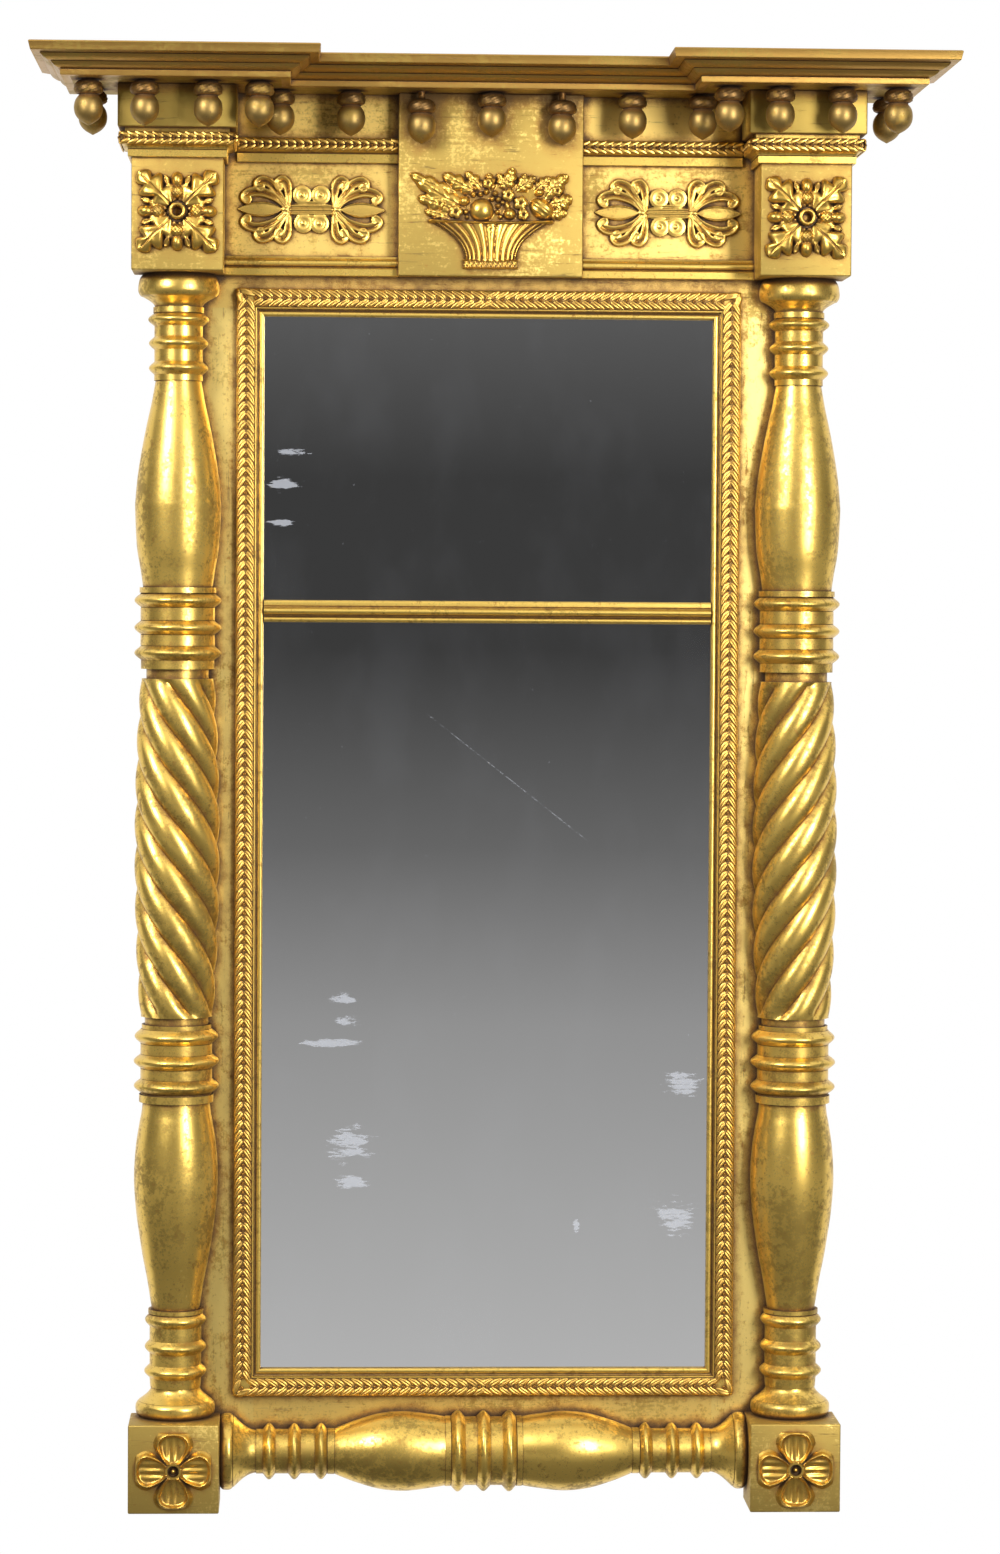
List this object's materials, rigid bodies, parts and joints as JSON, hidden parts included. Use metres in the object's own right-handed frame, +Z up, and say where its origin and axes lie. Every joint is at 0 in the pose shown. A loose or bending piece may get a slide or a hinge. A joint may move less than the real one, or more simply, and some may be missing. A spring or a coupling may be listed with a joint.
{
  "type": "wall mirror",
  "caption": "Gilded pier mirror with split turned columns, corner blocks, fruit-basket frieze and a cornice hung with acorns; hangs on a wall.",
  "frame": {"origin": "middle of the header board's back face, which lies against the wall", "axes": "+X to the viewer's right, -Y out of the wall towards the viewer, +Z up"},
  "size_m": [0.7936, 0.1675, 1.27],
  "materials": {
    "gilding": "worn water gilding on carved wood and composition",
    "bronzed": "darker bronzed gilding",
    "mirror": "old silvered glass",
    "pine": "bare pine",
    "brass": "tarnished brass"
  },
  "bodies": {
    "frame": {"backboard": "pine", "bottom_rail": "gilding", "bottom_sight_moulding": "gilding", "bottom_spindle": "gilding", "centre_acorn_1": "bronzed", "centre_acorn_2": "bronzed", "centre_acorn_3": "bronzed", "centre_acorn_4": "bronzed", "centre_acorn_5": "bronzed", "centre_acorn_6": "bronzed", "centre_acorn_7": "bronzed", "centre_cornice_moulding": "gilding", "centre_tablet": "gilding", "cornice_board": "gilding", "divider_bar": "gilding", "fruit_basket": "gilding", "header": "gilding", "left_acorn_inner": "bronzed", "left_acorn_mid_inner": "bronzed", "left_acorn_mid_outer": "bronzed", "left_acorn_outer": "bronzed", "left_acorn_rear": "bronzed", "left_base_block": "gilding", "left_cap_moulding": "gilding", "left_column": "gilding", "left_cornice_moulding": "gilding", "left_fascia_block": "gilding", "left_flower_rosette": "gilding", "left_frieze_base_band": "gilding", "left_frieze_block": "gilding", "left_frieze_leaf_moulding": "gilding", "left_hanger_strap": "brass", "left_oak_rosette": "gilding", "left_palmette": "gilding", "left_sight_moulding": "gilding", "left_stile": "gilding", "lower_mirror_plate": "mirror", "right_acorn_inner": "bronzed", "right_acorn_mid_inner": "bronzed", "right_acorn_mid_outer": "bronzed", "right_acorn_outer": "bronzed", "right_acorn_rear": "bronzed", "right_base_block": "gilding", "right_cap_moulding": "gilding", "right_column": "gilding", "right_cornice_moulding": "gilding", "right_fascia_block": "gilding", "right_flower_rosette": "gilding", "right_frieze_base_band": "gilding", "right_frieze_block": "gilding", "right_frieze_leaf_moulding": "gilding", "right_hanger_strap": "brass", "right_oak_rosette": "gilding", "right_palmette": "gilding", "right_sight_moulding": "gilding", "right_stile": "gilding", "top_sight_moulding": "gilding", "upper_mirror_plate": "mirror"},
    "left_ring": {"left_hanger_ring": "brass"},
    "right_ring": {"right_hanger_ring": "brass"}
  },
  "joints": [
    {"name": "left_ring_swing", "type": "hinge", "parent": "frame", "child": "left_ring", "pos_m": [-0.22, -0.006, -0.01975], "axis": [1, 0, 0], "range_deg": [0, 150]},
    {"name": "right_ring_swing", "type": "hinge", "parent": "frame", "child": "right_ring", "pos_m": [0.22, -0.006, -0.01975], "axis": [1, 0, 0], "range_deg": [0, 150]}
  ]
}
